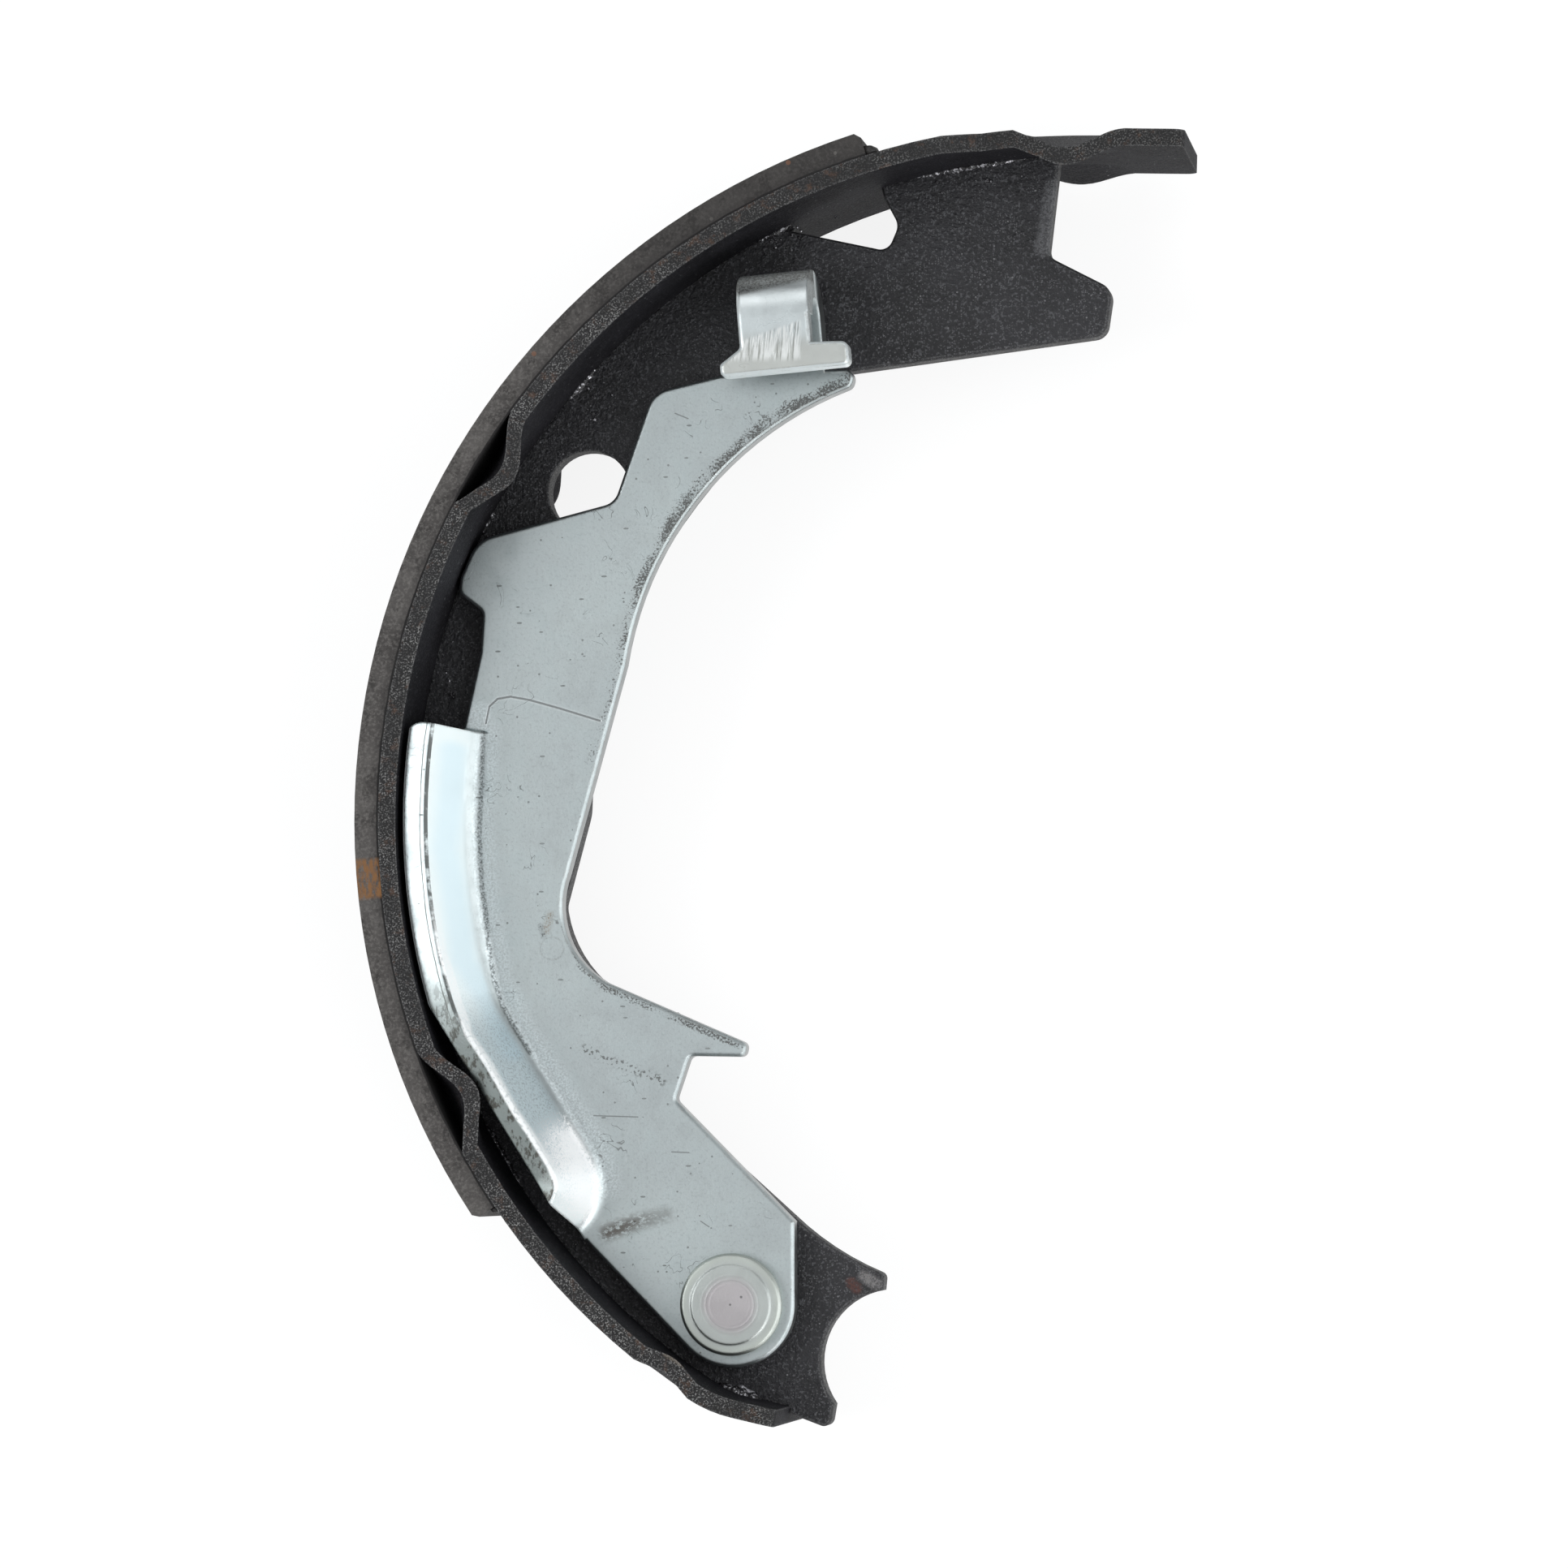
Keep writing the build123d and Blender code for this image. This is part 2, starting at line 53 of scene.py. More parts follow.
# Lines and marks on the lever, in metres in the part's frame
BEND_LINE = [
    (-0.0860, 0.0154), (-0.0853, 0.0130), (-0.0847, 0.0128), (-0.0856, 0.0), (-0.0848, -0.0118),
    (-0.0826, -0.0230), (-0.0786, -0.0310), (-0.0686, -0.0465), (-0.0668, -0.0520),
]
DIE_LINE = [
    (-0.0846, 0.0143), (-0.0841, 0.0167), (-0.0829, 0.0178), (-0.0810, 0.0181),
    (-0.0782, 0.0176), (-0.0740, 0.0164), (-0.0679, 0.0145),
]
SCRATCHES = [
    ((-0.0688, -0.0422), (-0.0624, -0.0424)),
    ((-0.0575, -0.0474), (-0.0550, -0.0475)),
    ((-0.0571, 0.0588), (-0.0552, 0.0580)),
    ((-0.0533, -0.0573), (-0.0521, -0.0581)),
]
FOLD_LINE = [
    (-0.0850, 0.0129), (-0.0851, 0.0081), (-0.0853, 0.0028), (-0.0855, -0.0013),
    (-0.0853, -0.0053), (-0.0851, -0.0094), (-0.0846, -0.0126), (-0.0841, -0.0175),
    (-0.0833, -0.0227), (-0.0820, -0.0265), (-0.0799, -0.0302), (-0.0780, -0.0332),
]
WORN_EDGE = [
    (-0.0318, 0.0630), (-0.0370, 0.0607), (-0.0417, 0.0583), (-0.0462, 0.0551), (-0.0503, 0.0514),
    (-0.0540, 0.0475), (-0.0572, 0.0431), (-0.0622, 0.0333), (-0.0650, 0.0228), (-0.0690, 0.0080),
]
WORN_ELBOW = [
    (-0.0730, -0.0150), (-0.0706, -0.0207), (-0.0670, -0.0238), (-0.0570, -0.0282), (-0.0480, -0.0320),
]
FLANGE_START = [(-0.0851, 0.0125), (-0.0850, 0.0040)]
FLANGE_MIDDLE = [(-0.0884, 0.0100), (-0.0893, -0.0040), (-0.0868, -0.0200), (-0.0800, -0.0330)]
# Where the painted sheen on the flange is weaker
WEAK_SHEEN = [(-0.0815, -0.0345), (-0.0740, -0.0465)]
# The white painted highlight at the flange's end
SPOON_HIGHLIGHT = [(-0.0716, -0.0455), (-0.0689, -0.0549)]
# The white painted highlight along the rim's lower part
RIM_LOW = [
    (-0.0908, -0.0080), (-0.0890, -0.0190), (-0.0851, -0.0306), (-0.0820, -0.0352),
    (-0.0783, -0.0417), (-0.0759, -0.0452), (-0.0734, -0.0491), (-0.0718, -0.0527),
]
STAIN_ROW = [(-0.0700, -0.0327), (-0.0646, -0.0349), (-0.0590, -0.0372)]
BROWN_DOTS = [(-0.0752, -0.0134), (-0.0757, -0.0156)]
SOOT = [(-0.0766, -0.0150), (-0.0761, -0.0165)]
RING_CENTRE = [(-0.0750, -0.0182), (-0.0748, -0.0182)]
RING_RADIUS = 0.0016
RUB_MARK = [(-0.0668, -0.0589), (-0.0628, -0.0576), (-0.0585, -0.0564)]


# A short way to write node trees


class Net:
    """One material's node tree. Its methods add a node and return that node's output."""

    def __init__(self, name):
        self.material = bpy.data.materials.new(name)
        self.material.use_nodes = True
        self.tree = self.material.node_tree
        self.tree.nodes.clear()
        self.out = self.tree.nodes.new("ShaderNodeOutputMaterial")
        self.shader = self.tree.nodes.new("ShaderNodeBsdfPrincipled")
        self.tree.links.new(self.shader.outputs["BSDF"], self.out.inputs["Surface"])

    def new(self, kind, values=None, **settings):
        node = self.tree.nodes.new(kind)
        for key, value in settings.items():
            setattr(node, key, value)
        for key, value in (values or {}).items():
            self.put(node.inputs[key], value)
        return node

    def put(self, socket, value):
        if isinstance(value, bpy.types.NodeSocket):
            self.tree.links.new(value, socket)
        elif hasattr(socket.default_value, "__len__") and len(socket.default_value) == 4:
            socket.default_value = (*value[:3], 1.0)
        else:
            socket.default_value = value

    def set(self, **values):
        for key, value in values.items():
            self.put(self.shader.inputs[key.replace("_", " ")], value)

    def where(self):
        """The point in the part's own frame, which moves with its body."""
        return self.new("ShaderNodeTexCoord").outputs["Object"]

    def parts(self, vector):
        split = self.new("ShaderNodeSeparateXYZ", {0: vector})
        return [split.outputs[axis] for axis in "XYZ"]

    def join(self, x, y, z):
        return self.new("ShaderNodeCombineXYZ", {0: x, 1: y, 2: z}).outputs[0]

    def math(self, operation, a, b=0.0, c=0.0):
        return self.new("ShaderNodeMath", {0: a, 1: b, 2: c}, operation=operation).outputs[0]

    def vector(self, operation, a, b=(0, 0, 0), output="Vector"):
        node = self.new("ShaderNodeVectorMath", {0: a, 1: b}, operation=operation)
        return node.outputs[output]

    def scaled(self, vector, factors):
        return self.vector("MULTIPLY", vector, factors)

    def noise(self, vector, scale, detail, roughness=0.5, distortion=0.0):
        values = {
            "Vector": vector,
            "Scale": scale,
            "Detail": detail,
            "Roughness": roughness,
            "Distortion": distortion,
        }
        return self.new("ShaderNodeTexNoise", values).outputs["Fac"]

    def cells(self, vector, scale, output="Distance"):
        values = {"Vector": vector, "Scale": scale}
        return self.new("ShaderNodeTexVoronoi", values, feature="F1").outputs[output]

    def specks(self, vector, scale, size, share):
        """Round spots at random, in a share of the cells of a grid of that scale."""
        near = self.math("LESS_THAN", self.cells(vector, scale), size)
        pick = self.parts(self.cells(vector, scale, output="Color"))[0]
        return self.math("MULTIPLY", near, self.math("GREATER_THAN", pick, 1.0 - share))

    def times(self, *values):
        """The product of all the values."""
        product = values[0]
        for value in values[1:]:
            product = self.math("MULTIPLY", product, value)
        return product

    def facing(self):
        """The surface's direction in the part's own frame."""
        return self.parts(self.new("ShaderNodeTexCoord").outputs["Normal"])

    def span(self, value, low, high, to_low=0.0, to_high=1.0):
        """The value mapped from one range to another, smoothly, and held at its ends."""
        values = {0: value, 1: low, 2: high, 3: to_low, 4: to_high}
        node = self.new("ShaderNodeMapRange", values, interpolation_type="SMOOTHSTEP")
        return node.outputs[0]

    def close(self, distance, low, high):
        """1 up to the low distance, then down to 0 at the high one."""
        return self.span(distance, low, high, 1.0, 0.0)

    def length(self, a, b):
        """The length of a flat vector."""
        return self.math("SQRT", self.math("MULTIPLY_ADD", a, a, self.math("MULTIPLY", b, b)))

    def gap(self, value, middle):
        """How far a value is from a middle one, either way."""
        return self.math("ABSOLUTE", self.math("SUBTRACT", value, middle))

    def coat(self, colour, shade, *masks):
        """The colour with a shade over it, as strongly as the product of the masks."""
        return self.mix(self.times(*masks), colour, shade)

    def mix(self, share, a, b):
        node = self.new("ShaderNodeMix", data_type="RGBA", blend_type="MIX")
        self.put(node.inputs[0], share)
        self.put(node.inputs[6], a)
        self.put(node.inputs[7], b)
        return node.outputs[2]

    def bump(self, height, distance, strength, normal=None):
        values = {"Height": height, "Distance": distance, "Strength": strength}
        if normal is not None:
            values["Normal"] = normal
        return self.new("ShaderNodeBump", values).outputs[0]

    def bevel(self, radius):
        """The surface's direction with its edges rounded."""
        return self.new("ShaderNodeBevel", {"Radius": radius}, samples=6).outputs[0]

    def edges(self, rounded):
        """1 on flat faces, and less where the rounded direction leaves the true one."""
        true_normal = self.new("ShaderNodeNewGeometry").outputs["Normal"]
        return self.vector("DOT_PRODUCT", rounded, true_normal, "Value")

    def segment(self, x, y, a, b):
        """The distance in the plane from a straight stroke between two points."""
        along = (b[0] - a[0], b[1] - a[1])
        length = math.hypot(*along)
        unit = (along[0] / length, along[1] / length)
        dx = self.math("SUBTRACT", x, a[0])
        dy = self.math("SUBTRACT", y, a[1])
        run = self.math("MULTIPLY_ADD", dx, unit[0], self.math("MULTIPLY", dy, unit[1]))
        side = self.math("MULTIPLY_ADD", dx, -unit[1], self.math("MULTIPLY", dy, unit[0]))
        held = self.math("MINIMUM", self.math("MAXIMUM", run, 0.0), length)
        beyond = self.math("SUBTRACT", run, held)
        return self.length(side, beyond)

    def stroke(self, x, y, points):
        """The distance in the plane from a line through several points."""
        nearest = None
        for a, b in zip(points, points[1:]):
            reach = self.segment(x, y, a, b)
            nearest = reach if nearest is None else self.math("MINIMUM", nearest, reach)
        return nearest


# Materials


def lining_material():
    """Ground friction material: dark and matt, with pale and rusty flecks and fine lines."""
    net = Net("friction_material")
    point = net.where()
    x, y, z = net.parts(point)
    radius = net.length(x, y)
    angle = net.math("ARCTAN2", y, net.math("MULTIPLY", x, -1.0))
    around = net.math("MULTIPLY", angle, LINING_OUTER)
    unrolled = net.join(around, z, radius)

    face = net.span(radius, LINING_OUTER - 0.0002, LINING_OUTER - 0.00005)
    cloud = net.noise(point, 110.0, 5.0, 0.65)
    grain = net.noise(point, 2600.0, 3.0, 0.6)
    lines = net.noise(net.scaled(unrolled, (60.0, 5200.0, 0.0)), 1.0, 3.0, 0.7)
    blots = net.noise(net.scaled(unrolled, (420.0, 600.0, 520.0)), 1.0, 4.0, 0.6)

    dark = net.mix(net.span(cloud, 0.32, 0.68), (0.048, 0.044, 0.042), (0.092, 0.086, 0.082))
    dark = net.coat(dark, (0.022, 0.02, 0.019), net.span(blots, 0.52, 0.64), 0.6)
    dark = net.mix(net.span(grain, 0.42, 0.68, 0.0, 0.5), dark, (0.16, 0.15, 0.143))
    dark = net.coat(dark, (0.15, 0.142, 0.132), net.span(lines, 0.46, 0.62), face, 0.4)

    # Darker towards its top end
    dark = net.coat(dark, (0.018, 0.0165, 0.016), net.span(angle, 0.62, 1.02, 0.0, 0.62))

    flecks = net.specks(point, 620.0, 0.17, 0.14)
    colour = net.coat(dark, (0.42, 0.4, 0.37), flecks, net.math("MULTIPLY_ADD", face, 0.55, 0.12))
    rust = net.specks(net.vector("ADD", point, (0.3, 0.1, 0.2)), 410.0, 0.15, 0.1)
    colour = net.coat(colour, (0.24, 0.1, 0.05), rust, 0.4)

    # The black line of adhesive against the table, and soot rubbed up from it
    wobble = net.math("MULTIPLY_ADD", net.noise(point, 420.0, 3.0), 0.0003, -0.00015)
    from_table = net.math("ADD", net.math("SUBTRACT", radius, TABLE_OUTER), wobble)
    colour = net.coat(colour, (0.004, 0.004, 0.004), net.close(from_table, 0.0002, 0.00034))
    colour = net.coat(colour, (0.02, 0.018, 0.018), net.span(from_table, 0.0003, 0.0016, 0.4, 0.0))

    # A brush mark of ochre paint on the edge
    at_mark = net.close(net.gap(angle, OCHRE_MARK), 0.024, 0.032)
    deep = net.math("GREATER_THAN", z, HALF_WIDTH - 0.0004)
    streaks = net.noise(net.scaled(unrolled, (500.0, 900.0, 1500.0)), 1.0, 4.0, 0.7)
    colour = net.coat(colour, (0.2, 0.095, 0.036), at_mark, deep, net.span(streaks, 0.34, 0.6), 0.9)

    net.set(Base_Color=colour, Roughness=net.span(cloud, 0.3, 0.7, 0.66, 0.85))
    net.set(Specular_IOR_Level=0.25)
    height = net.math("MULTIPLY_ADD", grain, 0.7, net.times(lines, face, 0.8))
    net.set(Normal=net.bump(height, 0.00012, 0.8, net.bevel(0.00025)))
    return net.material


def paint_material(name, sheared_is_level, gloss, rust, spots_and_highlights):
    """Thick dipped black paint: an orange-peel skin that sparkles, partly through painted glints, thin and
    dusty on sheared edges, with a painted highlight along its rounded edges.
    """
    net = Net(name)
    point = net.where()
    x, y, z = net.parts(point)
    level = net.math("ABSOLUTE", net.facing()[2])
    if sheared_is_level:
        sheared = net.span(level, 0.3, 0.6)
    else:
        sheared = net.span(level, 0.8, 0.4)
    peel = net.noise(point, 1250.0, 3.0, 0.6, 0.3)
    fine = net.noise(point, 3800.0, 2.0, 0.6)
    cloud = net.noise(point, 70.0, 4.0, 0.6)
    colour = net.mix(net.span(cloud, 0.35, 0.65), (0.0085, 0.0082, 0.0096), (0.0165, 0.016, 0.0188))

    # Dust and dry spots, a fraction of a millimetre across, and painted glints
    dusty = net.span(net.noise(point, 320.0, 3.0, 0.6), 0.38, 0.62)
    dust = net.times(net.specks(point, 3000.0, 0.3, 0.6), dusty, net.span(level, 0.3, 0.8, 0.4, 1.0))
    colour = net.coat(colour, (0.14, 0.14, 0.147), dust, 0.6)
    colour = net.coat(colour, (0.26, 0.26, 0.27), net.specks(point, 1500.0, 0.2, 0.05), 0.5)
    # Painted glints: light specks that stand in for sparkles of reflected light
    painted_glints = net.span(net.noise(point, 2500.0, 2.0), 0.54, 0.68)
    colour = net.coat(colour, (0.08, 0.08, 0.087), painted_glints, net.span(level, 0.3, 0.8, 0.3, 1.0), 0.7)

    # Sheared edges: pepper and salt, with a little rust
    salt = net.span(net.noise(point, 4200.0, 2.0), 0.5, 0.68)
    patches = net.span(net.noise(point, 240.0, 4.0, 0.6), 0.4, 0.62, 0.35, 1.0)
    less_on_tongue = net.span(y, 0.066, 0.09, 1.0, 0.5)
    speckled = net.coat((0.028, 0.0275, 0.0275), (0.27, 0.267, 0.262), salt, patches, less_on_tongue)
    rusty = net.span(net.noise(point, 420.0, 5.0, 0.65), 0.54, 0.68)
    speckled = net.coat(speckled, (0.12, 0.068, 0.045), rusty, rust)
    colour = net.coat(colour, speckled, sheared, 0.8)

    # Bare and rusty spots where the photograph has them, and on the web a painted highlight along its right
    # edge
    broken = net.span(fine, 0.4, 0.6, 0.35, 1.0)
    in_front = net.math("GREATER_THAN", z, 0.001)
    for start, end, width, shade in spots_and_highlights:
        spot_and_highlight = net.close(net.segment(x, y, start, end), width * 0.4, width)
        colour = net.coat(colour, shade, spot_and_highlight, broken, in_front, 0.8)

    edge_normal = net.bevel(0.0005)
    # Painted highlight: a light line along the rounded edges
    edge = net.span(net.edges(edge_normal), 0.995, 0.9)
    colour = net.coat(colour, (0.24, 0.238, 0.24), edge, net.span(fine, 0.42, 0.58), 0.5)

    rough = net.span(fine, 0.3, 0.7, 0.34, 0.5)
    net.set(Base_Color=colour, Roughness=net.math("ADD", rough, net.span(level, 0.1, 0.5, 0.25, 0.0)))
    net.set(Specular_IOR_Level=gloss)
    height = net.math("MULTIPLY_ADD", fine, 0.5, peel)
    net.set(Normal=net.bump(height, 0.00026, 0.9, edge_normal))
    return net.material


class Zinc(Net):
    """Bright zinc on pressed steel. Its methods take the colour so far and add marks, painted highlights and
    painted shade to it.
    """

    def __init__(self, name):
        super().__init__(name)
        self.point = self.where()
        self.x, self.y, self.z = self.parts(self.point)
        turned_right, _, turned_up = self.facing()
        self.turned_right = turned_right
        self.level = self.math("ABSOLUTE", turned_up)
        self.front = self.close(self.gap(self.z, LEVER_FRONT), 0.0002, 0.0004)
        self.mottle = self.noise(self.point, 260.0, 5.0, 0.65)
        self.fine = self.noise(self.point, 3200.0, 3.0, 0.65)
        self.grit = self.noise(self.point, 2300.0, 2.0, 0.6)
        self.edge_normal = self.bevel(0.00045)
        self.bend = self.edges(self.edge_normal)

    def beside(self, points, low, high):
        """1 near a line through some points, seen from the front, and 0 away from it."""
        return self.close(self.stroke(self.x, self.y, points), low, high)

    def plain(self):
        """Bluish grey, slightly mottled."""
        cloud = self.span(self.noise(self.point, 45.0, 3.0, 0.55), 0.3, 0.7)
        colour = self.mix(cloud, (0.485, 0.53, 0.538), (0.53, 0.582, 0.585))
        colour = self.coat(colour, (0.43, 0.485, 0.49), self.span(self.mottle, 0.4, 0.7, 0.0, 0.45))
        return self.coat(colour, (0.37, 0.405, 0.41), self.span(self.grit, 0.5, 0.72, 0.0, 0.45))

    def flange(self, colour):
        """Steep faces above the plate are painted pale, a painted highlight, with a painted bluish reflection
        near the middle and a dimmer painted sheen with dark grains lower down.
        """
        above = self.span(self.z, LEVER_FRONT, LEVER_FRONT + 0.002)
        steep = self.math("MULTIPLY", self.span(self.level, 0.9, 0.6), above)
        # Painted highlight: the steep faces painted pale, less so near a line low on the flange
        from_weak_sheen = self.stroke(self.x, self.y, WEAK_SHEEN)
        self.painted_sheen = self.math("MULTIPLY", steep, self.span(from_weak_sheen, 0.003, 0.011, 0.55, 1.0))
        colour = self.coat(colour, (0.94, 1.0, 1.0), self.painted_sheen, 0.95)
        # Painted reflection: bluish near the middle of the flange
        from_middle = self.stroke(self.x, self.y, FLANGE_MIDDLE)
        painted_blue_reflection = self.span(from_middle, 0.0004, 0.0022, 0.5, 0.0)
        colour = self.coat(colour, (0.68, 0.86, 0.95), steep, painted_blue_reflection)
        # Lower down the painted sheen is dimmer, with dark grains
        low = self.times(steep, self.span(self.y, -0.02, -0.034), self.span(self.y, -0.056, -0.05))
        colour = self.coat(colour, (0.6, 0.72, 0.78), low, 0.45)
        return self.coat(colour, (0.22, 0.25, 0.26), low, self.span(self.fine, 0.5, 0.62), 0.5)

    def fold(self, colour):
        """A dark line of painted shade in the crease where the flange folds up from the plate, and its
        speckled start.
        """
        foot = self.close(self.z, LEVER_FRONT + 0.0012, LEVER_FRONT + 0.002)
        broken = self.span(self.grit, 0.3, 0.5, 0.4, 1.0)
        # Painted shade in the crease
        line = self.beside(FOLD_LINE, 0.00016, 0.0005)
        colour = self.coat(colour, (0.1, 0.11, 0.11), line, foot, broken, 0.85)
        start = self.beside(FLANGE_START, 0.0002, 0.0009)
        return self.coat(colour, (0.1, 0.105, 0.105), start, foot, self.span(self.fine, 0.4, 0.6), 0.8)

    def worn_skin(self, colour):
        """Speckled skin along the bend, paler there as a painted highlight, and at the edge that faces the
        drum's axis, and cut walls.
        """
        bend_line = self.stroke(self.x, self.y, BEND_LINE)
        # Painted highlight over speckled zinc along the bend
        self.beside_bend = self.times(self.span(bend_line, 0.0008, 0.0034, 0.6, 0.0), self.front)
        colour = self.coat(colour, (0.74, 0.81, 0.83), self.beside_bend, self.span(self.fine, 0.4, 0.6))
        flat = self.math("MULTIPLY", self.front, self.span(self.level, 0.96, 0.99))
        uneven = self.span(self.noise(self.point, 170.0, 4.0, 0.6), 0.36, 0.6, 0.55, 1.0)
        along_edge = self.beside(WORN_EDGE, 0.0003, 0.0026)
        along_edge = self.math("MULTIPLY", along_edge, self.span(self.y, 0.0, 0.05, 0.6, 1.0))
        from_elbow = self.stroke(self.x, self.y, WORN_ELBOW)
        at_elbow = self.span(from_elbow, 0.0003, 0.0012, 0.8, 0.0)
        worn = self.times(self.math("MAXIMUM", along_edge, at_elbow), flat, uneven)
        grains = self.span(self.math("MULTIPLY_ADD", worn, 0.42, self.fine), 0.74, 0.9)
        colour = self.coat(colour, (0.1, 0.098, 0.094), grains, self.span(worn, 0.0, 0.12), 0.88)
        upper = self.math("MULTIPLY", along_edge, self.span(self.y, 0.02, 0.045))
        self.worn_edge = self.math("MAXIMUM", upper, self.math("MULTIPLY", at_elbow, 0.4))
        wall = self.span(self.level, 0.35, 0.15)
        below_front = self.span(self.z, LEVER_FRONT - 0.0002, LEVER_FRONT - 0.0004)
        return self.coat(colour, (0.24, 0.24, 0.235), wall, below_front, 0.65)

    def spoon_highlight(self, colour):
        """The flange's end, painted white as a highlight."""
        from_end = self.math("MULTIPLY_ADD", self.fine, -0.010, self.stroke(self.x, self.y, SPOON_HIGHLIGHT))
        lifted = self.span(self.z, LEVER_FRONT + 0.0001, LEVER_FRONT + 0.0009)
        broken = self.span(self.fine, 0.3, 0.5, 0.8, 1.0)
        # Painted highlight: white at the flange's end
        self.painted_spoon_highlight = self.times(self.close(from_end, -0.0044, 0.0), lifted, broken)
        return self.coat(colour, (1.0, 1.0, 1.0), self.painted_spoon_highlight)

    def small_marks(self, colour):
        """Pits, dashes and short curled scratches."""
        pits = self.specks(self.point, 640.0, 0.1, 0.3)
        dashes = self.specks(self.scaled(self.point, (0.42, 1.25, 1.0)), 780.0, 0.13, 0.2)
        curls = self.noise(self.point, 210.0, 2.0, 0.4, 1.6)
        thin = self.math("LESS_THAN", self.gap(curls, 0.5), 0.004)
        chosen = self.span(self.noise(self.point, 130.0, 3.0, 0.6), 0.57, 0.62)
        marks = self.math("MAXIMUM", self.math("MAXIMUM", pits, dashes), self.times(thin, chosen))
        self.marks = self.times(marks, self.span(self.level, 0.9, 0.98))
        return self.coat(colour, (0.17, 0.17, 0.165), self.marks, 0.6)

    def die_and_scratches(self, colour):
        """The step that the die left across the plate, with a painted highlight beside it, and long scratches
        below it.
        """
        from_die = self.stroke(self.x, self.y, DIE_LINE)
        self.die = self.times(self.close(from_die, 0.00007, 0.0002), self.front)
        # Painted highlight: a lighter band beside the die's step
        glow = self.span(from_die, 0.0001, 0.0005, 0.45, 0.0)
        colour = self.coat(colour, (0.72, 0.76, 0.77), glow, self.front)
        colour = self.coat(colour, (0.13, 0.135, 0.135), self.die, 0.75)
        for scratch in SCRATCHES:
            reach = self.stroke(self.x, self.y, scratch)
            line = self.span(reach, 0.00004, 0.00013, 0.7, 0.0)
            colour = self.coat(colour, (0.16, 0.165, 0.165), line, self.front)
        return colour

    def stains(self, colour):
        """A row of small stains, brown dots with soot and a ring, and a brown rub mark."""
        dots = self.span(self.noise(self.point, 2100.0, 2.0), 0.54, 0.62)
        row = self.beside(STAIN_ROW, 0.0003, 0.0011)
        colour = self.coat(colour, (0.07, 0.065, 0.06), row, dots, self.front, 0.65)
        between = self.span(self.fine, 0.5, 0.6, 0.25, 0.7)
        grains = self.math("MAXIMUM", self.specks(self.point, 3400.0, 0.4, 0.6), between)
        brown = self.beside(BROWN_DOTS, 0.0001, 0.0010)
        colour = self.coat(colour, (0.23, 0.165, 0.1), brown, grains, self.front, 0.6)
        soot = self.beside(SOOT, 0.0001, 0.0006)
        colour = self.coat(colour, (0.08, 0.08, 0.08), soot, grains, self.front, 0.75)
        from_ring = self.gap(self.stroke(self.x, self.y, RING_CENTRE), RING_RADIUS)
        ring = self.close(from_ring, 0.00005, 0.0002)
        colour = self.coat(colour, (0.2, 0.2, 0.19), ring, grains, self.front, 0.4)
        rub = self.beside(RUB_MARK, 0.0002, 0.0019)
        smear = self.noise(self.scaled(self.point, (1100.0, 1700.0, 700.0)), 1.0, 4.0, 0.7)
        rubbed = self.times(rub, self.span(smear, 0.34, 0.52), self.front)
        paler_right = self.span(self.x, -0.0652, -0.0585, 1.0, 0.45)
        return self.coat(colour, (0.095, 0.078, 0.065), rubbed, paler_right, 0.85)

    def hook(self, colour):
        """Painted highlight over the hook's bend with a speckled painted dark reflection at its very top, a
        leaf painted paler towards the bend with rub lines, a duller cut side.
        """
        hook = self.times(self.span(self.z, 0.0085, 0.0095), self.span(self.y, 0.055, 0.056))
        upper = self.span(self.z, 0.0125, 0.0135)
        leaf = self.times(hook, upper, self.span(self.level, 0.85, 0.95))
        # Painted light: the leaf paler towards the bend and greyer lower down
        colour = self.coat(colour, (0.66, 0.71, 0.72), leaf, self.span(self.y, 0.0660, 0.0700, 0.2, 0.9))
        colour = self.coat(colour, (0.6, 0.61, 0.58), leaf, self.span(self.y, 0.0700, 0.0665), 0.8)
        leaning = self.math("MULTIPLY_ADD", self.y, -0.09, self.x)
        across = self.join(self.times(leaning, 2800.0), self.times(self.y, 190.0), 0.0)
        lines = self.noise(across, 1.0, 3.0, 0.6)
        over = self.span(self.math("MULTIPLY_ADD", self.x, -0.338, self.y), 0.0840, 0.0833)
        above_foot = self.span(self.y, 0.0648, 0.0660)
        rubbed = self.times(leaf, over, above_foot, self.span(self.x, -0.0374, -0.0382))
        colour = self.coat(colour, (0.9, 0.92, 0.91), rubbed, self.span(lines, 0.45, 0.55), 0.85)
        colour = self.coat(colour, (0.25, 0.25, 0.235), rubbed, self.span(lines, 0.44, 0.38), 0.6)
        # Painted highlight over the hook's bend
        hook_bend_highlight = self.times(self.span(self.level, 0.55, 0.8), self.span(self.level, 1.0, 0.94))
        colour = self.coat(colour, (0.72, 0.77, 0.78), hook, upper, hook_bend_highlight, 0.8)
        # Painted dark reflection, speckled, at the very top of the bend
        painted_top_shade = self.span(self.math("MULTIPLY_ADD", self.x, -0.22, self.y), 0.0846, 0.0855)
        broken = self.span(self.fine, 0.35, 0.62, 0.55, 1.0)
        colour = self.coat(colour, (0.1, 0.092, 0.082), hook, painted_top_shade, broken, 0.85)
        side = self.times(hook, self.span(self.turned_right, 0.5, 0.8))
        return self.coat(colour, (0.2, 0.205, 0.2), side, self.span(self.fine, 0.35, 0.6, 0.6, 1.0), 0.7)

